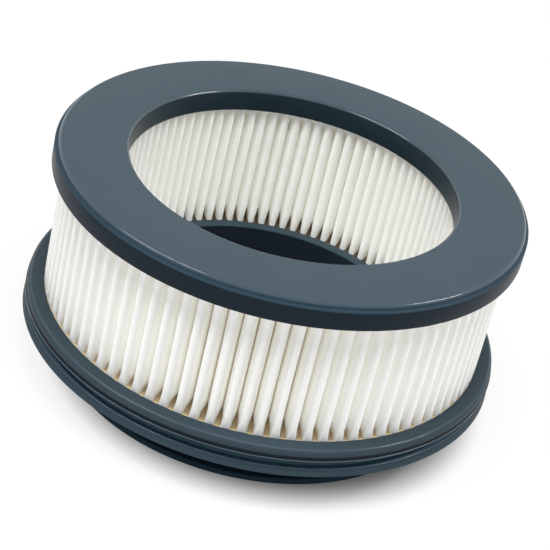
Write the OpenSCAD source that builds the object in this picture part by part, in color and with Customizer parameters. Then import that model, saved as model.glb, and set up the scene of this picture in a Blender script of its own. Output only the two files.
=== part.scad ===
// Ring-shaped pleated motor filter for a vacuum cleaner.
// A folded sheet of filter felt stands between two moulded end caps. Each end of
// the folds is potted in a trough of adhesive inside its cap.
// The axis is vertical and the origin lies at the centre of the underside.

/* [Overall] */
// Height from the foot of the bottom cap to the face of the top cap
total_h = 54; // [50:1:60]

/* [Filter media] */
// Number of folds round the ring
pleat_count = 90; // [70:2:100]
// Radius of the outer fold tips
pleat_outer_r = 52.2; // [51:0.1:52.6]
// Radius of the inner fold tips
pleat_inner_r = 39.1; // [39.1:0.1:41]
// Thickness of the felt sheet
felt_t = 0.6; // [0.4:0.05:0.7]
// Height over which the folds close up above the bottom adhesive
pinch_h = 5.5; // [4:0.5:14]

/* [Top cap] */
// Outer radius of the side wall
top_wall_r = 55; // [54.5:0.1:56]
// Height of the side wall and face together
top_cap_h = 5.8; // [5:0.1:7]
// Radius of the central hole
top_hole_r = 38.25; // [37:0.05:38.3]
// Width of the round edge where the face turns down into the hole
hole_round = 0.85; // [0.4:0.05:1.2]
// How far the inner lip stays short of the outer wall's lower edge
lip_short = 0.4; // [0:0.1:1]

/* [Bottom cap] */
// Height of the upper flange's flat face above the foot
flange_z = 17.2; // [17:0.1:18]
// Outer radius of the upper flange
upper_flange_r = 56.1; // [56:0.05:57]
// Outer radius of the lower flange
lower_flange_r = 56.5; // [56.3:0.1:58]
// Radius of the bore
bore_r = 36; // [34:0.1:37]
// Height of the collar's upper edge above the foot
collar_top_z = 16.4; // [15.8:0.1:16.6]
// Height of the collar's lower edge above the foot
collar_low_z = 10; // [8:0.1:10.5]
// Outer radius of the foot flange
foot_r = 46; // [45.5:0.1:48]
// Outer radius of the spigot above the foot flange
spigot_r = 43.8; // [43:0.1:44.4]

/* [Hidden] */

$fn = 180;
slate = [0.30, 0.37, 0.41];
ivory = [0.93, 0.92, 0.87];
amber = [0.78, 0.68, 0.50];

// Play between a potted fold and the walls of its trough
play = 0.05;

// Top cap: a raised face inside a narrow ledge, over the trough for the folds
ledge_w = 0.8;
ledge_drop = 1.2;
face_round = 0.45;
ledge_round = 0.35;
roof_t = 2.4;
top_wall = 1.8;
top_low_z = total_h - top_cap_h;
face_edge_r = top_wall_r - ledge_w;
ledge_z = total_h - ledge_drop;
roof_z = total_h - roof_t;
top_trough_r = top_wall_r - top_wall;
lip_r = pleat_inner_r - play;

// Bottom cap, upper flange: a flat face, a steep bevel, a wall and a thin lip
flange_h = 3.3;
bevel_in = 0.55;
bevel_h = 1.5;
flange_inner_r = pleat_outer_r + play * 2;
lip_z = flange_z - flange_h;
lip_h = 0.25;
lip_out = 0.2;

// Bottom cap, lower flange: its edge leans in towards the groove above it
groove_depth = 2.8;
groove_h = 1.8;
rim_lean = 0.8;
rim_h = 1.45;

// Bottom cap, inside and foot
trough_depth = 3.6;
plate_t = 2.2;
trough_floor_z = flange_z - trough_depth;
plate_low_z = trough_floor_z - plate_t;
collar_round = 0.4;
collar_wall = 1.8;
spigot_wall = 1.8;
foot_h = 1.2;
foot_edge = 0.4;

// Adhesive and the depth to which the folds stand in it
pot_floor = 0.8;
pot_short = 0.9;
cut_past = 1;
top_pot_low_z = top_low_z + pot_short;
media_low_z = trough_floor_z + pot_floor;
media_top_z = roof_z - pot_floor;
pinch_z = flange_z + pinch_h;

// Form of a fold, on the sheet's middle line: half width of its flat tip, and how
// far behind the tip its flanks come up to those of the next folds
outer_tip = 0.48;
outer_reach = 3;
inner_tip = 0.38;
inner_reach = 2.4;
fold_gap = 0.1;

// Half widths at the tip and at that depth, in the grip of the bottom adhesive
outer_pinched = [0.46, 0.56];
inner_pinched = [0.36, 0.5];

// Half widths of an open fold, whose flanks all but touch the next fold's
half_step = 180 / pleat_count;
outer_mid_r = pleat_outer_r - felt_t / 2;
inner_mid_r = pleat_inner_r + felt_t / 2;
function touching(r) = r * sin(half_step) - (felt_t + fold_gap) / 2;
outer_open = [outer_tip, touching(outer_mid_r - outer_reach)];
inner_open = [inner_tip, touching(inner_mid_r + inner_reach)];

// Points of an arc about a centre, between two angles
function arc(centre, r, from, to, count) =
    [for (i = [0:count - 1])
        let (a = from + (to - from) * i / (count - 1))
        [centre[0] + r * cos(a), centre[1] + r * sin(a)]];

// A point of the plane turned about the axis
function turned(p, a) = [p[0] * cos(a) - p[1] * sin(a), p[0] * sin(a) + p[1] * cos(a)];

// Four points of a fold: shoulder, flat tip and shoulder
function fold(tip_r, reach, half) =
    [[tip_r + reach, -half[1]], [tip_r, -half[0]], [tip_r, half[0]], [tip_r + reach, half[1]]];

// Middle line of the folded sheet, as a closed line round the axis
function middle_line(outer_half, inner_half) =
    let (
        outer_fold = fold(outer_mid_r, -outer_reach, outer_half),
        inner_fold = fold(inner_mid_r, inner_reach, inner_half)
    )
    [for (k = [0:pleat_count - 1])
        each concat(
            [for (p = outer_fold) turned(p, 2 * k * half_step)],
            [for (p = inner_fold) turned(p, (2 * k + 1) * half_step)])];

// Unit vector square to the stretch from p to q, on its right
function square_to(p, q) = let (v = (q - p) / norm(q - p)) [v[1], -v[0]];

// A closed line moved to its right by d, with mitred corners
function moved(line, d) =
    let (n = len(line))
    [for (i = [0:n - 1])
        let (
            a = square_to(line[(i + n - 1) % n], line[i]),
            b = square_to(line[i], line[(i + 1) % n])
        )
        line[i] + d * (a + b) / (1 + a * b)];

// The sheet's outward face, for side 1, or inward face, for side -1
function felt_face(side, half) = moved(middle_line(half[0], half[1]), side * felt_t / 2);

open_fold = [outer_open, inner_open];
pinched_fold = [outer_pinched, inner_pinched];

// Section of the folded sheet
module felt_section(half) {
    outward = felt_face(1, half);
    inward = felt_face(-1, half);
    n = len(outward);
    polygon(
        concat(outward, inward),
        [[for (i = [0:n - 1]) i], [for (i = [0:n - 1]) n + i]]);
}

// The folded sheet: one closed wall through four levels, closed up at the foot
module folded_sheet() {
    levels = [
        [media_low_z, pinched_fold],
        [flange_z, pinched_fold],
        [pinch_z, open_fold],
        [media_top_z, open_fold]];
    rings = [for (v = levels) for (side = [1, -1])
        [for (p = felt_face(side, v[1])) [p[0], p[1], v[0]]]];
    n = len(rings[0]);
    last = 2 * (len(levels) - 1);
    function at(ring, i) = ring * n + i % n;
    outward_faces = [for (k = [0:2:last - 2]) for (i = [0:n - 1]) each
        [[at(k, i), at(k + 2, i), at(k + 2, i + 1)], [at(k, i), at(k + 2, i + 1), at(k, i + 1)]]];
    inward_faces = [for (k = [1:2:last - 1]) for (i = [0:n - 1]) each
        [[at(k, i), at(k + 2, i + 1), at(k + 2, i)], [at(k, i), at(k, i + 1), at(k + 2, i + 1)]]];
    low_edge = [for (i = [0:n - 1]) each
        [[at(0, i), at(0, i + 1), at(1, i + 1)], [at(0, i), at(1, i + 1), at(1, i)]]];
    top_edge = [for (i = [0:n - 1]) each
        [[at(last, i), at(last + 1, i + 1), at(last, i + 1)],
         [at(last, i), at(last + 1, i), at(last + 1, i + 1)]]];
    polyhedron(
        [for (ring = rings) each ring],
        concat(outward_faces, inward_faces, low_edge, top_edge),
        convexity = 20);
}

module pleated_media() {
    color(ivory) folded_sheet();
}

// Revolved section of the top cap: a channel open downwards
module top_cap() {
    hole_edge_r = top_hole_r + hole_round;
    color(slate) rotate_extrude()
        polygon(concat(
            [[top_hole_r, top_low_z + lip_short]],
            arc([hole_edge_r, total_h - hole_round], hole_round, 180, 90, 7),
            arc([face_edge_r - face_round, total_h - face_round], face_round, 90, 0, 6),
            [[face_edge_r, ledge_z]],
            arc([top_wall_r - ledge_round, ledge_z - ledge_round], ledge_round, 90, 0, 5),
            [[top_wall_r, top_low_z],
             [top_trough_r, top_low_z],
             [top_trough_r, roof_z],
             [lip_r, roof_z],
             [lip_r, top_low_z + lip_short]]));
}

// Revolved section of the bottom cap: two flanges with a groove between them,
// a trough for the folds, a collar round the bore and a spigot with a foot
module bottom_cap() {
    groove_r = upper_flange_r - groove_depth;
    rim_top_z = lip_z - groove_h;
    rim_low_z = rim_top_z - rim_h;
    color(slate) rotate_extrude()
        polygon(concat(
            [[bore_r, collar_low_z]],
            arc([bore_r + collar_round, collar_top_z - collar_round], collar_round, 180, 90, 5),
            [[lip_r, collar_top_z],
             [lip_r, trough_floor_z],
             [flange_inner_r, trough_floor_z],
             [flange_inner_r, flange_z],
             [upper_flange_r - bevel_in, flange_z],
             [upper_flange_r, flange_z - bevel_h],
             [upper_flange_r, lip_z + lip_h],
             [upper_flange_r + lip_out, lip_z + lip_h],
             [upper_flange_r + lip_out, lip_z],
             [groove_r, lip_z],
             [groove_r, rim_top_z],
             [lower_flange_r - rim_lean, rim_top_z],
             [lower_flange_r, rim_low_z],
             [groove_r, rim_low_z],
             [groove_r, plate_low_z],
             [spigot_r, plate_low_z],
             [spigot_r, foot_h],
             [foot_r - foot_edge, foot_h],
             [foot_r, foot_h - foot_edge],
             [foot_r, 0],
             [spigot_r - spigot_wall, 0],
             [spigot_r - spigot_wall, plate_low_z],
             [bore_r + collar_wall, plate_low_z],
             [bore_r + collar_wall, collar_low_z]]));
}

// Adhesive round the upper ends of the folds
module top_adhesive() {
    color(amber) difference() {
        rotate_extrude()
            polygon([
                [lip_r, top_pot_low_z], [top_trough_r, top_pot_low_z],
                [top_trough_r, roof_z], [lip_r, roof_z]]);
        translate([0, 0, top_pot_low_z - cut_past])
            linear_extrude(media_top_z - top_pot_low_z + cut_past)
                felt_section(open_fold);
    }
}

// Adhesive round the lower ends of the folds, level with both edges of its trough
module bottom_adhesive() {
    color(amber) difference() {
        rotate_extrude()
            polygon([
                [lip_r, trough_floor_z], [flange_inner_r, trough_floor_z],
                [flange_inner_r, flange_z], [lip_r, collar_top_z]]);
        translate([0, 0, media_low_z])
            linear_extrude(flange_z - media_low_z)
                felt_section(pinched_fold);
    }
}

top_cap();
pleated_media();
bottom_cap();
top_adhesive();
bottom_adhesive();
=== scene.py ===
"""Looks of a ring-shaped pleated motor filter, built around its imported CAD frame."""

import logging
import math
from dataclasses import dataclass
from enum import Enum

import bpy
from mathutils import Matrix, Vector, noise


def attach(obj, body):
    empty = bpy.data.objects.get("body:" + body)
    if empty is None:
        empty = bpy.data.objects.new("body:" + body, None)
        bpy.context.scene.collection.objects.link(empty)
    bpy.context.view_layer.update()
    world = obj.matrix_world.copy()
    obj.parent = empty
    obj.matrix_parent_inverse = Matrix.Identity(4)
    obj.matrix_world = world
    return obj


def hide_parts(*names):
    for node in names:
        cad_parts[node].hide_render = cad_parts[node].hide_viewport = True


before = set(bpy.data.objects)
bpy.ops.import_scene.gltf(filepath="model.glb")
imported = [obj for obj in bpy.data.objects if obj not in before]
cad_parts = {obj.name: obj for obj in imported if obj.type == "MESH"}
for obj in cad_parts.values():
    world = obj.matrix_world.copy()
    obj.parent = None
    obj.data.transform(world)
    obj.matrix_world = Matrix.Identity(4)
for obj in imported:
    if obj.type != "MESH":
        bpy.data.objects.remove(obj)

MM = 0.001
BODY = "root"
LOG = logging.getLogger("filter")

# Heights and radii that several pieces share, in millimetres
TOP_Z = 54.0
CAP_Z = 48.2
FLANGE_Z = 17.2
LIP_R = 39.05

# Points of a mesh that are closer than this are one point
MERGE = 0.002 * MM

# Light goes back and forth many times between white folds
DIFFUSE_BOUNCES = 12

Colour = tuple[float, float, float]
Place = tuple[float, float, float]
Point = tuple[float, float]


class Slot(Enum):
    """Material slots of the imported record."""

    PLASTIC = "slate_plastic"
    FELT = "filter_felt"
    GLUE = "hot_melt"


class Axis(Enum):
    """Row axes by index."""

    X = 0
    Y = 1
    Z = 2


class Flank(Enum):
    """Side of a corner on which a fold's long flank lies, along the sheet's middle line."""

    NONE = 0
    BEFORE = 1
    AFTER = 2


class Expr:
    """A shader socket whose arithmetic adds Math nodes."""

    def __init__(self, tree: bpy.types.NodeTree, socket: bpy.types.NodeSocket) -> None:
        """Wraps a socket.

        Args:
            tree: node tree that the socket is in.
            socket: output socket.
        """
        self.tree = tree
        self.socket = socket

    def _math(self, operation: str, *values: "Expr | float") -> "Expr":
        """Adds one Math node.

        Args:
            operation: Blender's name of the operation.
            values: expressions or numbers, in socket order.

        Returns:
            The node's result.
        """
        made = self.tree.nodes.new("ShaderNodeMath")
        made.operation = operation
        for slot, value in zip(made.inputs, values):
            if isinstance(value, Expr):
                self.tree.links.new(value.socket, slot)
            else:
                slot.default_value = value
        return Expr(self.tree, made.outputs[0])

    def __add__(self, other: "Expr | float") -> "Expr":
        """Sum."""
        return self._math("ADD", self, other)

    __radd__ = __add__

    def __sub__(self, other: "Expr | float") -> "Expr":
        """Difference."""
        return self._math("SUBTRACT", self, other)

    def __rsub__(self, other: float) -> "Expr":
        """Difference from a number."""
        return self._math("SUBTRACT", other, self)

    def __mul__(self, other: "Expr | float") -> "Expr":
        """Product."""
        return self._math("MULTIPLY", self, other)

    __rmul__ = __mul__

    def __truediv__(self, other: "Expr | float") -> "Expr":
        """Quotient."""
        return self._math("DIVIDE", self, other)

    def beside(self, other: "Expr") -> "Expr":
        """Distance that two lengths at a right angle give."""
        return self._math("POWER", self * self + other * other, 0.5)

    def ramp(self, low: float, high: float) -> "Expr":
        """Smooth step.

        Args:
            low: value that gives 0.
            high: value that gives 1. It may be below low.

        Returns:
            A value from 0 to 1.
        """
        t = (self - low) / (high - low)
        t = t._math("MAXIMUM", t, 0.0)
        t = t._math("MINIMUM", t, 1.0)
        return t * t * (3.0 - 2.0 * t)

    def between(self, low: float, high: float, soft: float) -> "Expr":
        """1 from low to high, falling to 0 outside them.

        Args:
            low: lower end of the stretch.
            high: upper end of the stretch.
            soft: width over which it falls, outside each end.

        Returns:
            A value from 0 to 1.
        """
        return self.ramp(low - soft, low) * self.ramp(high + soft, high)


class Shader:
    """A node material and the few node forms that this object's finishes use."""

    # The Mix node's colour sockets and its colour output
    MIX_LOW, MIX_HIGH, MIX_RESULT = 6, 7, 2

    def __init__(self, name: str) -> None:
        """Starts a material.

        Args:
            name: the material's name.
        """
        self.material = bpy.data.materials.new(name)
        self.material.use_nodes = True
        self.tree = self.material.node_tree
        self.tree.nodes.clear()
        self.output = self.tree.nodes.new("ShaderNodeOutputMaterial")

    def node(self, kind: str, settings: dict | None = None, **sockets: object) -> bpy.types.Node:
        """Adds one node.

        Args:
            kind: the node's type.
            settings: attributes, set before the sockets.
            sockets: socket names, with underscores for spaces, and their values or expressions.

        Returns:
            The node.
        """
        made = self.tree.nodes.new(kind)
        for key, value in (settings or {}).items():
            setattr(made, key, value)
        for key, value in sockets.items():
            slot = made.inputs[key.replace("_", " ")]
            if isinstance(value, Expr):
                self.tree.links.new(value.socket, slot)
            else:
                slot.default_value = value
        return made

    def value(self, made: bpy.types.Node, output: str | int = 0) -> Expr:
        """One output of a node as an expression."""
        return Expr(self.tree, made.outputs[output])

    def place(self) -> Expr:
        """The point on the object, in metres."""
        return self.value(self.node("ShaderNodeTexCoord"), "Object")

    def split(self, point: Expr) -> tuple[Expr, Expr, Expr]:
        """The point's three coordinates.

        Args:
            point: the point, in metres.

        Returns:
            x, y and z, in millimetres.
        """
        made = self.node("ShaderNodeSeparateXYZ", Vector=point)
        x, y, z = (self.value(made, axis.value) for axis in Axis)
        return x / MM, y / MM, z / MM

    def stretched(self, point: Expr, scale: tuple[float, float, float]) -> Expr:
        """The point with each axis scaled."""
        return self.value(self.node("ShaderNodeMapping", Vector=point, Scale=scale))

    def cloud(self, point: Expr, size: float, detail: float = 2.0) -> Expr:
        """Smooth noise from 0 to 1.

        Args:
            point: where it is read.
            size: width of a patch, in millimetres.
            detail: octaves.

        Returns:
            The noise.
        """
        scale = 1.0 / (size * MM)
        return self.value(self.node("ShaderNodeTexNoise", Vector=point, Scale=scale, Detail=detail))

    def tint(self, mask: Expr, low: Colour | Expr, high: Colour | Expr) -> Expr:
        """A colour between two.

        Args:
            mask: 0 gives low, 1 gives high.
            low: colour, or an expression.
            high: colour, or an expression.

        Returns:
            The mixed colour.
        """
        made = self.node("ShaderNodeMix", {"data_type": "RGBA"})
        self.tree.links.new(mask.socket, made.inputs[0])
        for index, colour in ((self.MIX_LOW, low), (self.MIX_HIGH, high)):
            if isinstance(colour, Expr):
                self.tree.links.new(colour.socket, made.inputs[index])
            else:
                made.inputs[index].default_value = (*colour, 1.0)
        return self.value(made, self.MIX_RESULT)

    def bump(self, height: Expr, depth: float) -> Expr:
        """A bumped normal.

        Args:
            height: height from 0 to 1.
            depth: what 1 stands for, in millimetres.

        Returns:
            The normal.
        """
        return self.value(self.node("ShaderNodeBump", Height=height, Distance=depth * MM, Strength=1.0))

    def surface(self, **sockets: object) -> bpy.types.Material:
        """Closes the material with a Principled shader.

        Args:
            sockets: the shader's sockets, with underscores for spaces.

        Returns:
            The material.
        """
        made = self.node("ShaderNodeBsdfPrincipled", **sockets)
        self.tree.links.new(made.outputs[0], self.output.inputs["Surface"])
        return self.material


def linear(red: int, green: int, blue: int) -> Colour:
    """Turns a screen colour into a linear one.

    Args:
        red: 0 to 255.
        green: 0 to 255.
        blue: 0 to 255.

    Returns:
        The linear colour.
    """
    def one(level: int) -> float:
        """One channel."""
        c = level / 255
        return c / 12.92 if c <= 0.04045 else ((c + 0.055) / 1.055) ** 2.4
    return one(red), one(green), one(blue)


@dataclass(frozen=True)
class Zone:
    """A ring-shaped stretch of a cap with its own tone of painted light or shade, its own roughness or its
    own polish.
    """

    low_z: float
    high_z: float
    low_r: float
    high_r: float
    # Default tone: the faces' tone, painted lighter than the walls to stand in for light from above and
    # its sheen
    tone: Colour = (0.042, 0.062, 0.076)
    roughness: float = 0.40
    polish: float = 0.0
    soft: float = 0.12

    def mask(self, z: Expr, radius: Expr) -> Expr:
        """1 inside the zone and 0 outside it.

        Args:
            z: height, in millimetres.
            radius: distance from the axis, in millimetres.

        Returns:
            The mask.
        """
        tall = z.between(self.low_z, self.high_z, self.soft)
        return tall * radius.between(self.low_r, self.high_r, self.soft)


@dataclass(frozen=True)
class SlatePlastic:
    """Moulded slate blue plastic: smooth walls in its own deep blue-black, faces painted lighter where
    light from above and its sheen fall, fine matt grain on the faces and polished edges.
    """

    name: str
    zones: tuple[Zone, ...]
    wall: Colour = (0.0085, 0.0160, 0.0240)
    wall_roughness: float = 0.38
    wall_grain: float = 0.2
    shine: float = 0.08
    coat_roughness: float = 0.12
    grain_size: float = 0.5
    grain_detail: float = 3.0
    grain_depth: float = 0.003
    patch_size: float = 14.0
    patch_tone: float = 0.10
    patch_roughness: float = 0.06

    def make(self) -> bpy.types.Material:
        """Builds the material.

        Returns:
            The material.
        """
        s = Shader(self.name)
        place = s.place()
        x, y, z = s.split(place)
        radius = x.beside(y)
        colour, roughness, polish, matt = self.wall, self.wall_roughness, 0.0, self.wall_grain
        # Each zone's tone is painted light and shade laid over the walls' own colour
        for zone in self.zones:
            mask = zone.mask(z, radius)
            colour = s.tint(mask, colour, zone.tone)
            roughness = mask * (zone.roughness - roughness) + roughness
            polish = mask * (zone.polish - polish) + polish
            matt = mask * (1.0 - zone.polish - matt) + matt
        patch = s.cloud(place, self.patch_size)
        grain = s.cloud(place, self.grain_size, self.grain_detail)
        return s.surface(
            Base_Color=s.tint(patch * self.patch_tone, colour, self.wall),
            Roughness=roughness + (patch - 0.5) * self.patch_roughness,
            Specular_IOR_Level=self.shine,
            Coat_Weight=polish,
            Coat_Roughness=self.coat_roughness,
            Normal=s.bump(grain * matt, self.grain_depth))


@dataclass(frozen=True)
class FilterFelt:
    """Ivory needled felt with light and shade painted into its tones across the folds, a beige tint deep
    in the folds under the top cap and stains of adhesive deep in the folds at the base.
    """

    # Tones of the outer face: ridges; ridges next to the top cap, painted lighter against the cap's shade;
    # flanks; the folds' depth, painted lighter against its shade; and painted shade in the deepest pockets
    white: Colour = linear(237, 237, 235)
    cream: Colour = linear(234, 234, 231)
    upper: Colour = linear(253, 253, 250)
    flank: Colour = linear(238, 238, 235)
    depth: Colour = linear(251, 251, 247)
    shade: Colour = linear(228, 221, 205)
    # Tones of the inner face, painted lighter than the outer face to stand in for light inside the ring:
    # ridges, flanks and the depth, painted lighter against its shade
    inside: Colour = linear(249, 249, 245)
    inside_flank: Colour = linear(245, 245, 241)
    inside_depth: Colour = linear(249, 248, 243)
    # A beige tint deep in the folds under the top cap, and stains of the adhesive at the base
    beige: Colour = linear(247, 243, 232)
    stain: Colour = linear(186, 158, 112)
    # Where each tone lies, in millimetres
    outer_r: float = 51.7
    inner_r: float = 39.8
    middle_r: float = 45.0
    middle_soft: float = 1.0
    outer_bend: float = 0.25
    inner_bend: float = 0.3
    reach: float = 1.6
    pocket_start: float = 2.3
    pocket_end: float = 4.2
    upper_h: float = 7.0
    beige_h: float = 3.4
    stain_h: float = 3.2
    # How far the stains' edges wander, and the patches and fibres of the felt
    wander: float = 1.6
    wander_size: float = 3.0
    patch_size: float = 7.0
    fibre_size: float = 0.35
    fibre_detail: float = 4.0
    fibre_lean: tuple[float, float, float] = (1.0, 1.0, 0.35)
    fibre_depth: float = 0.012
    roughness: float = 0.92
    shine: float = 0.2

    def outer_tone(self, s: Shader, place: Expr, z: Expr, radius: Expr) -> Expr:
        """Colour of the outer face, with painted light under the top cap and in the folds' depth, and
        painted shade in the deepest pockets.

        Args:
            s: the felt's shader.
            place: the point on the sheet.
            z: height, in millimetres.
            radius: distance from the axis, in millimetres.

        Returns:
            The colour.
        """
        bent = radius.ramp(self.outer_r, self.outer_r - self.outer_bend)
        deep = radius.ramp(self.outer_r, self.outer_r - self.reach)
        pocket_shade = radius.ramp(self.outer_r - self.pocket_start, self.outer_r - self.pocket_end)
        # Painted light on the ridges under the top cap, against the cap's shade
        shaded = z.ramp(CAP_Z - self.upper_h, CAP_Z)
        ridge = s.tint(bent, s.tint(s.cloud(place, self.patch_size), self.cream, self.white), self.flank)
        ridge = s.tint(shaded, ridge, self.upper)
        # Painted light in the folds' depth, and painted shade in the deepest pockets
        return s.tint(pocket_shade, s.tint(deep, ridge, self.depth), self.shade)

    def inner_tone(self, s: Shader, radius: Expr) -> Expr:
        """Colour of the inner face, painted lighter than the outer face, with painted light in the folds'
        depth.

        Args:
            s: the felt's shader.
            radius: distance from the axis, in millimetres.

        Returns:
            The colour.
        """
        bent = radius.ramp(self.inner_r - self.inner_bend, self.inner_r)
        deep = radius.ramp(self.inner_r, self.inner_r + self.reach)
        # Painted light in the folds' depth
        return s.tint(deep, s.tint(bent, self.inside, self.inside_flank), self.inside_depth)

    def make(self) -> bpy.types.Material:
        """Builds the material.

        Returns:
            The material.
        """
        s = Shader("filter_felt")
        place = s.place()
        x, y, z = s.split(place)
        radius = x.beside(y)
        inward = radius.ramp(self.middle_r + self.middle_soft, self.middle_r)
        # The inner face takes tones painted lighter than the outer face's
        clean = s.tint(inward, self.outer_tone(s, place, z, radius), self.inner_tone(s, radius))
        deep = radius.between(self.inner_r + self.reach, self.outer_r - self.reach, self.reach)
        edge = z + s.cloud(place, self.wander_size) * self.wander
        high = edge.ramp(CAP_Z - self.beige_h, CAP_Z)
        low = edge.ramp(FLANGE_Z + self.stain_h, FLANGE_Z)
        pale = s.tint(high * deep, clean, self.beige)
        fibre = s.cloud(s.stretched(place, self.fibre_lean), self.fibre_size, self.fibre_detail)
        return s.surface(
            Base_Color=s.tint(low * deep, pale, self.stain),
            Roughness=self.roughness,
            Specular_IOR_Level=self.shine,
            Normal=s.bump(fibre, self.fibre_depth))


@dataclass(frozen=True)
class HotMelt:
    """Set hot-melt adhesive, tan on its flat face, with painted light on its outer rim and painted shade
    where it climbs between the folds and on its inner part.
    """

    name: str
    # Painted light: the outer rim's lighter tone
    rim: Colour = linear(184, 168, 136)
    flat: Colour = linear(160, 143, 110)
    patch: Colour = linear(146, 128, 96)
    # Painted shade where the adhesive climbs between the folds
    climb_shade: Colour = linear(96, 78, 50)
    # Painted shade on the adhesive's inner part
    deep_shade: Colour = linear(62, 50, 32)
    rim_r: float = 51.9
    rim_soft: float = 0.5
    flat_z: float = FLANGE_Z
    climb_z: float = 20.0
    dark_r: float = 42.6
    dark_soft: float = 0.6
    patch_size: float = 3.0
    lump_size: float = 1.6
    lump_depth: float = 0.05
    roughness: float = 0.55

    def make(self) -> bpy.types.Material:
        """Builds the material.

        Returns:
            The material.
        """
        s = Shader(self.name)
        place = s.place()
        x, y, z = s.split(place)
        radius = x.beside(y)
        body = s.tint(s.cloud(place, self.patch_size), self.patch, self.flat)
        # Painted shade where it climbs between the folds
        body = s.tint(z.ramp(self.flat_z, self.climb_z), body, self.climb_shade)
        # Painted shade on its inner part
        body = s.tint(radius.ramp(self.dark_r + self.dark_soft, self.dark_r), body, self.deep_shade)
        return s.surface(
            # Painted light on its outer rim
            Base_Color=s.tint(radius.ramp(self.rim_r - self.rim_soft, self.rim_r), body, self.rim),
            Roughness=self.roughness,
            Normal=s.bump(s.cloud(place, self.lump_size), self.lump_depth))


def clear_selection() -> None:
    """Deselects everything, in object mode."""
    if bpy.context.object and bpy.context.object.mode != "OBJECT":
        bpy.ops.object.mode_set(mode="OBJECT")
    bpy.ops.object.select_all(action="DESELECT")


def only(piece: bpy.types.Object) -> None:
    """Makes one piece the selected and active one.

    Args:
        piece: the piece.
    """
    clear_selection()
    piece.select_set(True)
    bpy.context.view_layer.objects.active = piece


def apply_modifier(piece: bpy.types.Object, kind: str, **settings: object) -> None:
    """Adds a modifier and applies it.

    Args:
        piece: the piece.
        kind: the modifier's type.
        settings: its attributes.
    """
    only(piece)
    made = piece.modifiers.new(kind.lower(), kind)
    for key, value in settings.items():
        setattr(made, key, value)
    bpy.ops.object.modifier_apply(modifier=made.name)


def close_mesh() -> None:
    """Merges the doubles of the mesh in edit mode, turns its faces outwards and leaves edit mode."""
    bpy.ops.mesh.select_all(action="SELECT")
    bpy.ops.mesh.remove_doubles(threshold=MERGE)
    bpy.ops.mesh.normals_make_consistent(inside=False)
    bpy.ops.object.mode_set(mode="OBJECT")


def arc(centre: Point, r: float, start: float, end: float, count: int) -> list[Point]:
    """Points of an arc in the section's plane.

    Args:
        centre: radius and height of the arc's centre.
        r: the arc's radius.
        start: first angle, in degrees.
        end: last angle, in degrees.
        count: number of points.

    Returns:
        The points.
    """
    angles = [math.radians(start + (end - start) * i / (count - 1)) for i in range(count)]
    return [(centre[0] + r * math.cos(a), centre[1] + r * math.sin(a)) for a in angles]


@dataclass
class TurnedRing:
    """A ring made by carrying a circle along a closed section."""

    name: str
    section: list[Point]
    turns: int = 288
    edge: float = 0.0
    edge_steps: int = 3
    edge_angle: float = 28.0
    smooth_angle: float = 32.0

    def build(self) -> bpy.types.Object:
        """Models the ring.

        Returns:
            The piece.
        """
        clear_selection()
        radius, height = self.section[0]
        bpy.ops.mesh.primitive_circle_add(
            vertices=self.turns, radius=radius * MM, location=(0, 0, height * MM))
        piece = bpy.context.object
        piece.name = self.name
        bpy.ops.object.transform_apply(location=True, rotation=True, scale=True)
        bpy.ops.object.mode_set(mode="EDIT")
        bpy.ops.mesh.select_all(action="SELECT")
        for (r0, z0), (r1, z1) in zip(self.section, [*self.section[1:], self.section[0]]):
            rise = (0, 0, (z1 - z0) * MM)
            bpy.ops.mesh.extrude_region_move(TRANSFORM_OT_translate={"value": rise})
            bpy.ops.transform.resize(value=(r1 / r0, r1 / r0, 1), center_override=(0, 0, 0))
        close_mesh()
        if self.edge:
            apply_modifier(
                piece, "BEVEL", width=self.edge * MM, segments=self.edge_steps,
                limit_method="ANGLE", angle_limit=math.radians(self.edge_angle))
        bpy.ops.object.shade_smooth_by_angle(angle=math.radians(self.smooth_angle))
        return piece


def finish_piece(
    piece: bpy.types.Object, material: bpy.types.Material, slot: Slot, *nodes: str,
) -> None:
    """Gives a piece its finish and its place in the frame.

    Args:
        piece: the piece.
        material: its finish.
        slot: the record's slot; not used.
        nodes: CAD nodes that it stands for.
    """
    piece.data.materials.clear()
    piece.data.materials.append(material)
    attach(piece, BODY)
    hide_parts(*nodes)


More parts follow.
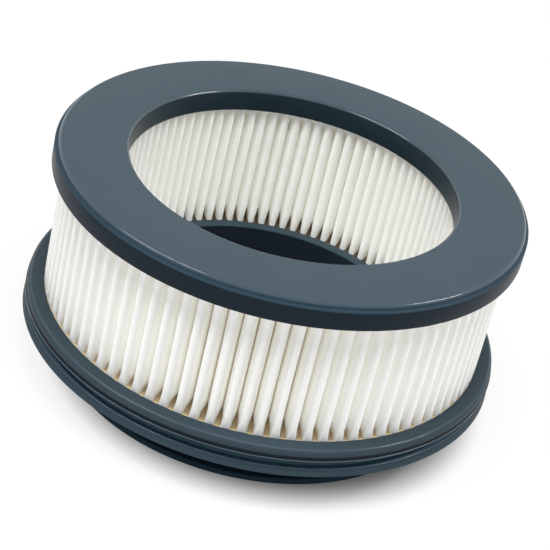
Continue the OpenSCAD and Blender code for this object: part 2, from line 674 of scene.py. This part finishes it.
@dataclass
class TopCap:
    """The upper cap: a raised flat face, a narrow ledge outside it and a trough below."""

    hole_r: float = 38.25
    hole_round: float = 0.85
    lip_low_z: float = 48.6
    face_r: float = 54.2
    face_round: float = 0.75
    ledge_z: float = 52.8
    ledge_round: float = 0.35
    wall_r: float = 55.0
    trough_r: float = 53.2
    roof_z: float = 51.6
    edge: float = 0.12
    hole_points: int = 10
    face_points: int = 8
    ledge_points: int = 7
    # The zones' tones are painted light and shade laid over the walls' colour
    zones: tuple[Zone, ...] = (
        # Flat face, painted lighter than the walls as if lit from above
        Zone(53.45, 55.0, 38.7, 54.3),
        # Step from the face down to the ledge, painted a mid tone of partial light
        Zone(52.85, 53.45, 53.9, 54.6, tone=(0.030, 0.060, 0.085)),
        # Ledge, painted a little lighter than the walls as if lit from above
        Zone(52.55, 52.9, 54.35, 55.2, tone=(0.022, 0.041, 0.058)),
        # Polished outer edge of the face, painted a tone between the face's and the walls' as its light
        # falls off
        Zone(53.50, 53.975, 53.62, 54.2, tone=(0.030, 0.052, 0.070), roughness=0.3, polish=0.7, soft=0.06),
        # Wall of the hole, painted a little lighter than the outer wall for the light that falls into the
        # hole
        Zone(48.0, 53.5, 38.0, 38.6, tone=(0.014, 0.028, 0.038), roughness=0.35),
        # Polished edge of the hole, painted a tone between the face's and the walls'
        Zone(53.55, 53.93, 38.2, 38.75, tone=(0.026, 0.044, 0.058), roughness=0.3, polish=1.0, soft=0.06),
    )

    def build(self) -> bpy.types.Object:
        """Models the cap.

        Returns:
            The piece.
        """
        hole_centre = (self.hole_r + self.hole_round, TOP_Z - self.hole_round)
        face_centre = (self.face_r - self.face_round, TOP_Z - self.face_round)
        ledge_centre = (self.wall_r - self.ledge_round, self.ledge_z - self.ledge_round)
        section = [
            (self.hole_r, self.lip_low_z),
            *arc(hole_centre, self.hole_round, 180, 90, self.hole_points),
            *arc(face_centre, self.face_round, 90, 0, self.face_points),
            (self.face_r, self.ledge_z),
            *arc(ledge_centre, self.ledge_round, 90, 0, self.ledge_points),
            (self.wall_r, CAP_Z),
            (self.trough_r, CAP_Z),
            (self.trough_r, self.roof_z),
            (LIP_R, self.roof_z),
            (LIP_R, self.lip_low_z),
        ]
        return TurnedRing("top_cap_shell", section, edge=self.edge).build()

    def dress(self, piece: bpy.types.Object) -> None:
        """Gives the cap its plastic."""
        plastic = SlatePlastic("top_cap_plastic", self.zones)
        finish_piece(piece, plastic.make(), Slot.PLASTIC, "top_cap")


@dataclass
class BottomCap:
    """The lower cap: two flanges with a groove between them, a collar and a spigot with a foot."""

    bore_r: float = 36.0
    collar_low_z: float = 10.0
    collar_top_z: float = 16.4
    collar_round: float = 0.4
    collar_wall: float = 1.8
    trough_z: float = 13.6
    flange_inner_r: float = 52.3
    flange_r: float = 56.1
    crown_in: float = 1.1
    crown_h: float = 1.5
    lip_z: float = 14.55
    lip_h: float = 0.28
    lip_out: float = 0.25
    groove_depth: float = 1.6
    rim_top: float = 12.35
    rim_low: float = 10.65
    rim_r: float = 56.5
    rim_lean: float = 0.8
    plate_z: float = 11.4
    spigot_r: float = 43.8
    spigot_wall: float = 1.8
    foot_r: float = 46.0
    foot_h: float = 1.2
    foot_edge: float = 0.4
    edge: float = 0.1
    collar_points: int = 7
    crown_points: int = 8
    wall_tone: Colour = (0.007, 0.013, 0.019)
    shine: float = 0.06
    # The zones' tones are painted light and shade laid over the walls' colour
    zones: tuple[Zone, ...] = (
        # Flange face and its crowned edge, painted lighter than the walls as if lit from above, and a
        # painted highlight line along the crown
        Zone(15.75, 17.6, 52.0, 57.0, tone=(0.032, 0.050, 0.061)),
        Zone(15.75, 16.95, 54.9, 57.0, tone=(0.033, 0.050, 0.062)),
        Zone(17.0, 17.14, 55.2, 55.6, tone=(0.048, 0.070, 0.084), roughness=0.3, polish=0.15, soft=0.05),
        # Thin lip below the flange, painted in a lighter tone as a highlight line
        Zone(14.5, 14.95, 56.25, 57.0, roughness=0.3, polish=0.8, soft=0.06),
        # Groove and its lower corner, painted lighter than the walls to lift the shade in the groove
        Zone(12.25, 14.5, 53.0, 55.9, tone=(0.022, 0.048, 0.070), roughness=0.5),
        Zone(12.25, 12.6, 53.0, 55.4, tone=(0.070, 0.140, 0.200), roughness=0.5, soft=0.5),
        # Leaning rim of the lower flange, painted lighter as if lit from above, and a painted highlight
        # line on its upper edge
        Zone(10.7, 12.25, 55.4, 57.0, tone=(0.030, 0.049, 0.063)),
        Zone(12.25, 12.42, 55.45, 55.9, tone=(0.055, 0.082, 0.100), roughness=0.3, polish=0.8, soft=0.06),
        # Spigot and the underside beside it, with painted shade under the flanges
        Zone(1.3, 10.7, 43.0, 55.4, tone=(0.003, 0.006, 0.009), roughness=0.6),
        # Foot, painted lighter than the walls to lift the shade under the flanges
        Zone(-0.2, 1.3, 43.9, 46.4, tone=(0.034, 0.072, 0.105)),
        # Top of the collar, painted lighter as if lit from above
        Zone(16.3, 17.0, 36.3, 39.2, tone=(0.033, 0.053, 0.066)),
    )

    def build(self) -> bpy.types.Object:
        """Models the cap.

        Returns:
            The piece.
        """
        groove_r = self.flange_r - self.groove_depth
        lip_r = self.flange_r + self.lip_out
        inner_r = self.spigot_r - self.spigot_wall
        outer_bore_r = self.bore_r + self.collar_wall
        collar_centre = (self.bore_r + self.collar_round, self.collar_top_z - self.collar_round)
        crown = [
            (self.flange_r - self.crown_in * (1.0 - c), FLANGE_Z - self.crown_h * (1.0 - s))
            for c, s in arc((0.0, 0.0), 1.0, 90, 0, self.crown_points)]
        section = [
            (self.bore_r, self.collar_low_z),
            *arc(collar_centre, self.collar_round, 180, 90, self.collar_points),
            (LIP_R, self.collar_top_z),
            (LIP_R, self.trough_z),
            (self.flange_inner_r, self.trough_z),
            (self.flange_inner_r, FLANGE_Z),
            *crown,
            (self.flange_r, self.lip_z + self.lip_h),
            (lip_r, self.lip_z + self.lip_h),
            (lip_r, self.lip_z),
            (groove_r, self.lip_z),
            (groove_r, self.rim_top),
            (self.rim_r - self.rim_lean, self.rim_top),
            (self.rim_r, self.rim_low),
            (groove_r, self.rim_low),
            (groove_r, self.plate_z),
            (self.spigot_r, self.plate_z),
            (self.spigot_r, self.foot_h),
            (self.foot_r - self.foot_edge, self.foot_h),
            (self.foot_r, self.foot_h - self.foot_edge),
            (self.foot_r, 0.0),
            (inner_r, 0.0),
            (inner_r, self.plate_z),
            (outer_bore_r, self.plate_z),
            (outer_bore_r, self.collar_low_z),
        ]
        return TurnedRing("bottom_cap_shell", section, edge=self.edge).build()

    def dress(self, piece: bpy.types.Object) -> None:
        """Gives the cap its plastic."""
        plastic = SlatePlastic("bottom_cap_plastic", self.zones, wall=self.wall_tone, shine=self.shine)
        finish_piece(piece, plastic.make(), Slot.PLASTIC, "bottom_cap")


@dataclass(frozen=True)
class Fold:
    """One kind of fold on the sheet's middle line, with half widths at its tip and its shoulders."""

    tip_r: float
    reach: float
    crown: float
    tip: float
    shoulder_cut: float
    pinch_h: float
    pinched_tip: float
    pinched_shoulder: float
    cap_tip: float
    cap_back: float


@dataclass(frozen=True)
class Corner:
    """A corner of the sheet's middle line."""

    place: Vector
    cut: float
    flank: Flank


@dataclass
class PleatedSheet:
    """One flat sheet of felt, folded round the ring."""

    folds: int = 90
    outer: Fold = Fold(
        tip_r=51.93, reach=-4.4, crown=0.05, tip=0.46, shoulder_cut=0.6, pinch_h=2.3,
        pinched_tip=0.78, pinched_shoulder=1.05, cap_tip=0.46, cap_back=-0.1)
    inner: Fold = Fold(
        tip_r=39.35, reach=2.1, crown=-0.04, tip=0.40, shoulder_cut=0.3, pinch_h=2.7,
        pinched_tip=0.42, pinched_shoulder=0.90, cap_tip=0.40, cap_back=0.1)
    thickness: float = 0.6
    overlap: float = 0.03
    low_z: float = 14.4
    high_z: float = 50.8
    cap_pinch_h: float = 2.6
    # Rounding of the corners: how much a tip loses, at most this share of its half width, and how
    # much wider a shoulder is for each millimetre that it loses
    tip_cut: float = 0.26
    tip_share: float = 0.9
    cut_share: float = 0.13
    corner_points: int = 3
    guard: float = 0.16
    # Rows of the mesh, those of the pinch up to a little above it
    pinch_rows: int = 6
    pinch_over: float = 1.3
    body_rows: int = 3
    smooth_angle: float = 60.0
    # How much the folds differ: in the height of the pinch, and sideways above the base
    pinch_spread: float = 0.25
    pinch_rate: float = 0.83
    pinch_line: float = 7.3
    stray_width: float = 0.13
    stray_rate: float = 0.37
    stray_lean: float = 0.05
    stray_free_h: float = 8.0
    seed: float = 3.1

    def heights(self) -> list[float]:
        """Works out the heights of the sheet's rows, closer together next to the caps.

        Returns:
            The heights, in millimetres.
        """
        rise = self.outer.pinch_h * self.pinch_over
        pinch = [FLANGE_Z + rise * i / self.pinch_rows for i in range(self.pinch_rows + 1)]
        top = CAP_Z - self.cap_pinch_h
        span = top - pinch[-1]
        body = [pinch[-1] + span * (i + 1) / self.body_rows for i in range(self.body_rows)]
        return [self.low_z, *pinch, *body, (top + CAP_Z) / 2, CAP_Z, self.high_z]

    def grips(self, kind: Fold, place: float, z: float) -> tuple[float, float]:
        """How tightly the two ends hold a fold at a height.

        Args:
            kind: outer or inner.
            place: the fold's number, halves for the inner ones.
            z: height, in millimetres.

        Returns:
            The lower and the upper grip, each from 0 for none to 1.
        """
        spread = noise.noise(Vector((place * self.pinch_rate, self.pinch_line, self.seed)))
        height = kind.pinch_h * (1.0 + self.pinch_spread * spread)
        low = min(max(1.0 - (z - FLANGE_Z) / height, 0.0), 1.0)
        high = min(max((z - CAP_Z + self.cap_pinch_h) / self.cap_pinch_h, 0.0), 1.0)
        return low, high * high

    def stray(self, place: float, z: float) -> float:
        """How far a fold strays sideways.

        Args:
            place: the fold's number, halves for the inner ones.
            z: height, in millimetres.

        Returns:
            The distance, in millimetres.
        """
        free = min(max((z - FLANGE_Z) / self.stray_free_h, 0.0), 1.0)
        wave = noise.noise(Vector((place * self.stray_rate, self.seed, z * self.stray_lean)))
        return free * self.stray_width * wave

    def fold_corners(self, kind: Fold, place: float, z: float) -> list[Corner]:
        """Corners of one fold at a height: shoulder, tip with its crown, and shoulder.

        Args:
            kind: outer or inner.
            place: the fold's number, halves for the inner ones.
            z: height, in millimetres.

        Returns:
            The corners, in order round the ring.
        """
        step = math.pi / self.folds
        low, high = self.grips(kind, place, z)
        shoulder_r = kind.tip_r + kind.reach
        half_pitch = shoulder_r * math.sin(step)
        cut_width = kind.shoulder_cut * self.cut_share
        touching = half_pitch - self.thickness / 2 + cut_width + self.overlap
        shoulder = touching + (kind.pinched_shoulder - touching) * low
        tip = kind.tip + (kind.pinched_tip - kind.tip) * low + (kind.cap_tip - kind.tip) * high
        tip_r = kind.tip_r + kind.cap_back * high
        tip_cut = min(self.tip_cut, tip * self.tip_share)
        stray = self.stray(place, z)
        turn = Matrix.Rotation(2 * place * step, 2)
        return [
            Corner(turn @ Vector((r, side + stray)), cut, flank)
            for r, side, cut, flank in (
                (shoulder_r, -shoulder, kind.shoulder_cut, Flank.AFTER),
                (tip_r, -tip, tip_cut, Flank.BEFORE),
                (tip_r + kind.crown, 0.0, 0.0, Flank.NONE),
                (tip_r, tip, tip_cut, Flank.AFTER),
                (shoulder_r, shoulder, kind.shoulder_cut, Flank.BEFORE),
            )]

    def rounded(self, corners: list[Corner]) -> list[Vector]:
        """Rounds the corners of a closed line.

        Args:
            corners: the line's corners.

        Returns:
            The rounded line's points.
        """
        points = []
        for i, corner in enumerate(corners):
            if not corner.cut:
                points.append(corner.place)
                continue
            back = (corners[i - 1].place - corner.place).normalized()
            ahead = (corners[(i + 1) % len(corners)].place - corner.place).normalized()
            start = corner.place + back * corner.cut
            end = corner.place + ahead * corner.cut
            if corner.flank is Flank.BEFORE:
                points.append(start + back * self.guard)
            for j in range(self.corner_points):
                t = j / (self.corner_points - 1)
                points.append(start.lerp(corner.place, t).lerp(corner.place.lerp(end, t), t))
            if corner.flank is Flank.AFTER:
                points.append(end + ahead * self.guard)
        return points

    def section(self, z: float) -> list[Vector]:
        """Middle line of the folded sheet at a height, as a closed line.

        Args:
            z: height, in millimetres.

        Returns:
            The points, in the plane, in millimetres.
        """
        corners = []
        for k in range(self.folds):
            corners += self.fold_corners(self.outer, k, z)
            corners += self.fold_corners(self.inner, k + 0.5, z)
        return self.rounded(corners)

    def build(self) -> bpy.types.Object:
        """Models the sheet.

        Returns:
            The piece.
        """
        heights = self.heights()
        rows = len(heights) - 1
        sections = [self.section(z) for z in heights]
        columns = len(sections[0])
        clear_selection()
        bpy.ops.mesh.primitive_grid_add(x_subdivisions=columns, y_subdivisions=rows, size=2)
        piece = bpy.context.object
        piece.name = "felt_sheet"
        # The grid runs from -1 to 1 both ways, with a column for each point and a row for each height
        for vertex in piece.data.vertices:
            column = round((vertex.co.x + 1) / 2 * columns) % columns
            row = round((vertex.co.y + 1) / 2 * rows)
            flat = sections[row][column]
            vertex.co = (flat.x * MM, flat.y * MM, heights[row] * MM)
        bpy.ops.object.mode_set(mode="EDIT")
        close_mesh()
        apply_modifier(piece, "SOLIDIFY", thickness=self.thickness * MM, offset=0.0)
        only(piece)
        bpy.ops.object.shade_smooth_by_angle(angle=math.radians(self.smooth_angle))
        return piece

    def dress(self, piece: bpy.types.Object) -> None:
        """Gives the sheet its felt."""
        finish_piece(piece, FilterFelt().make(), Slot.FELT, "pleated_media")


@dataclass
class LowerGlue:
    """The adhesive in the lower cap's trough, which climbs between the folds."""

    inner_r: float = 39.06
    outer_r: float = 52.25
    floor_z: float = 13.7
    outer_edge_z: float = 16.9
    inner_edge_z: float = 16.2
    # Radius and height along the free face, from the outer edge inwards
    face: tuple[Point, ...] = (
        (50.6, 17.1), (49.8, 17.6), (48.6, 19.0), (47.2, 20.8),
        (44.0, 21.5), (42.6, 20.0), (41.2, 17.2), (39.6, 16.4))
    turns: int = 360

    def build(self) -> bpy.types.Object:
        """Models the adhesive.

        Returns:
            The piece.
        """
        section = [
            (self.inner_r, self.floor_z),
            (self.outer_r, self.floor_z),
            (self.outer_r, self.outer_edge_z),
            *self.face,
            (self.inner_r, self.inner_edge_z),
        ]
        return TurnedRing("lower_glue", section, self.turns).build()

    def dress(self, piece: bpy.types.Object) -> None:
        """Gives the adhesive its finish."""
        finish_piece(piece, HotMelt("lower_melt").make(), Slot.GLUE, "bottom_adhesive")


@dataclass
class UpperGlue:
    """The adhesive in the top cap's trough, which hangs a little between the folds, pale partly in its own
    colour and partly as painted light against the shade under the cap.
    """

    inner_r: float = 39.06
    outer_r: float = 53.1
    roof_z: float = 51.5
    inner_edge_z: float = 48.7
    outer_edge_z: float = 49.0
    # Radius and height along the free face, from the inner edge outwards
    face: tuple[Point, ...] = (
        (39.5, 48.5), (40.0, 47.6), (40.8, 46.6), (41.6, 46.0),
        (43.0, 48.6), (50.0, 48.6), (51.6, 47.6), (52.0, 48.4))
    turns: int = 360
    # Pale tones, partly its own colour and partly painted light against the shade under the cap
    flat: Colour = linear(245, 243, 235)
    patch: Colour = linear(242, 239, 229)
    # Beyond the part, so that the lower ring's painted shade doesn't come in
    flat_z: float = 60.0
    climb_z: float = 61.0
    dark_r: float = 0.0

    def build(self) -> bpy.types.Object:
        """Models the adhesive.

        Returns:
            The piece.
        """
        section = [
            (self.inner_r, self.roof_z),
            (self.inner_r, self.inner_edge_z),
            *self.face,
            (self.outer_r, self.outer_edge_z),
            (self.outer_r, self.roof_z),
        ]
        return TurnedRing("upper_glue", section, self.turns).build()

    def dress(self, piece: bpy.types.Object) -> None:
        """Gives the adhesive its finish, without the painted shade of the lower ring."""
        melt = HotMelt(
            "upper_melt", flat=self.flat, patch=self.patch,
            flat_z=self.flat_z, climb_z=self.climb_z, dark_r=self.dark_r)
        finish_piece(piece, melt.make(), Slot.GLUE, "top_adhesive")


@dataclass(frozen=True)
class PhotoCamera:
    """The photograph's viewpoint, with lengths in millimetres and angles in degrees."""

    distance: float = 432.0
    elevation: float = 27.92
    roll: float = -13.60
    yaw: float = 0.63
    pitch: float = 3.14
    lens: float = 123.93
    sensor: float = 36.0
    near: float = 10.0
    far: float = 10000.0

    def make(self) -> bpy.types.Object:
        """Adds the camera and makes it the scene's.

        Returns:
            The camera.
        """
        tilt = math.radians(self.elevation)
        back = Vector((0, -math.cos(tilt), math.sin(tilt)))
        forward = -back
        right = Vector((1, 0, 0))
        down = forward.cross(right)
        look = Matrix((right, down, forward))
        roll = Matrix.Rotation(-math.radians(self.roll), 3, "Z")
        yaw = Matrix.Rotation(math.radians(self.yaw), 3, "Y")
        pitch = Matrix.Rotation(math.radians(self.pitch), 3, "X")
        rows = pitch @ yaw @ roll @ look
        data = bpy.data.cameras.new("photo_camera")
        data.lens = self.lens
        data.sensor_width = self.sensor
        data.clip_start = self.near * MM
        data.clip_end = self.far * MM
        camera = bpy.data.objects.new("photo_camera", data)
        bpy.context.scene.collection.objects.link(camera)
        turn = Matrix((rows[0], -rows[1], -rows[2])).transposed()
        place = (back * self.distance + Vector((0, 0, TOP_Z))) * MM
        camera.matrix_world = Matrix.Translation(place) @ turn.to_4x4()
        bpy.context.scene.camera = camera
        return camera


@dataclass(frozen=True)
class Lamp:
    """One soft box, with its place and size in metres and its power in watts."""

    name: str
    place: Place
    size: tuple[float, float]
    power: float
    along: Place = (0.0, 1.0, 0.0)
    aim: Place = (0.0, 0.0, 0.03)
    glints: bool = True

    def make(self) -> bpy.types.Object:
        """Adds the lamp.

        Returns:
            The lamp.
        """
        data = bpy.data.lights.new(self.name, "AREA")
        data.shape = "RECTANGLE"
        data.size, data.size_y = self.size
        data.energy = self.power
        lamp = bpy.data.objects.new(self.name, data)
        bpy.context.scene.collection.objects.link(lamp)
        back = (Vector(self.place) - Vector(self.aim)).normalized()
        side = Vector(self.along).cross(back).normalized()
        turn = Matrix((side, back.cross(side), back)).transposed()
        lamp.matrix_world = Matrix.Translation(self.place) @ turn.to_4x4()
        lamp.visible_glossy = self.glints
        return lamp


def seen_ray(tree: bpy.types.NodeTree) -> Expr:
    """Tells rays that show the background from rays that light the object.

    Args:
        tree: node tree of the background's material or of the world.

    Returns:
        1 for rays to the camera, straight or in a reflection, and 0 for light.
    """
    path = tree.nodes.new("ShaderNodeLightPath")
    kinds = ("Is Camera Ray", "Is Glossy Ray", "Is Transmission Ray")
    camera, glossy, transmission = (Expr(tree, path.outputs[kind]) for kind in kinds)
    return (camera + glossy + transmission).ramp(0.0, 1.0)


@dataclass(frozen=True)
class Studio:
    """The pale floor, the white surroundings and the lamps."""

    sky: float = 0.29
    floor_size: float = 6.0
    floor_tone: float = 0.90
    floor_shown: float = 0.12
    floor_glow: float = 0.845
    floor_roughness: float = 0.9
    # Soft painted contact shadow under the foot, in millimetres
    painted_shadow_r: float = 43.5
    painted_shadow_end_r: float = 55.5
    painted_shadow_shift: float = 3.5
    painted_shadow_share: float = 0.12
    lamps: tuple[Lamp, ...] = (
        Lamp("left_strip", (-0.49, -0.186, 0.79), (0.06, 0.5), 3.9, along=(0.508, -0.476, 0.222)),
        Lamp("right_strip", (0.67, 0.075, 0.67), (0.06, 0.32), 3.4, along=(0.152, 0.408, -0.217)),
        Lamp("key_box", (0.0, -0.26, 0.96), (0.5, 0.4), 8.2, glints=False),
    )

    def make(self) -> None:
        """Sets up the world, the lamps and the floor."""
        self.world()
        for lamp in self.lamps:
            lamp.make()
        self.floor()

    def world(self) -> None:
        """Makes the world white to the camera and dimmer as a light."""
        world = bpy.data.worlds.new("studio_world")
        bpy.context.scene.world = world
        world.use_nodes = True
        tree = world.node_tree
        background = tree.nodes["Background"]
        background.inputs["Color"].default_value = (1, 1, 1, 1)
        strength = seen_ray(tree) * (1.0 - self.sky) + self.sky
        tree.links.new(strength.socket, background.inputs["Strength"])

    def floor(self) -> None:
        """Adds the floor, whose shadows show at part of their strength, with a soft shadow painted under
        the foot.
        """
        clear_selection()
        bpy.ops.mesh.primitive_plane_add(size=self.floor_size, location=(0, 0, 0))
        floor = bpy.context.object
        floor.name = "floor"
        s = Shader("pale_floor")
        seen = seen_ray(s.tree)
        x, y, _ = s.split(s.place())
        # Painted contact shadow: the white that the camera sees fades towards the foot
        clear = (x - self.painted_shadow_shift).beside(y).ramp(self.painted_shadow_r, self.painted_shadow_end_r)
        glow = s.tint(clear, (self.floor_glow * self.painted_shadow_share,) * 3, (self.floor_glow,) * 3)
        floor.data.materials.append(s.surface(
            Base_Color=s.tint(seen, (self.floor_tone,) * 3, (self.floor_shown,) * 3),
            Emission_Color=s.tint(seen, (0.0, 0.0, 0.0), glow),
            Emission_Strength=1.0,
            Roughness=self.floor_roughness,
            Specular_IOR_Level=0.0))


def main() -> None:
    """Builds the studio and the filter."""
    logging.basicConfig(level=logging.INFO, format="%(message)s")
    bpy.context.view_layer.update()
    scene = bpy.context.scene
    scene.view_settings.view_transform = "Standard"
    scene.cycles.diffuse_bounces = DIFFUSE_BOUNCES
    PhotoCamera().make()
    Studio().make()
    for part in (TopCap(), BottomCap(), PleatedSheet(), LowerGlue(), UpperGlue()):
        piece = part.build()
        part.dress(piece)
        LOG.info("%s: %d faces", piece.name, len(piece.data.polygons))


if __name__ == "__main__":
    main()
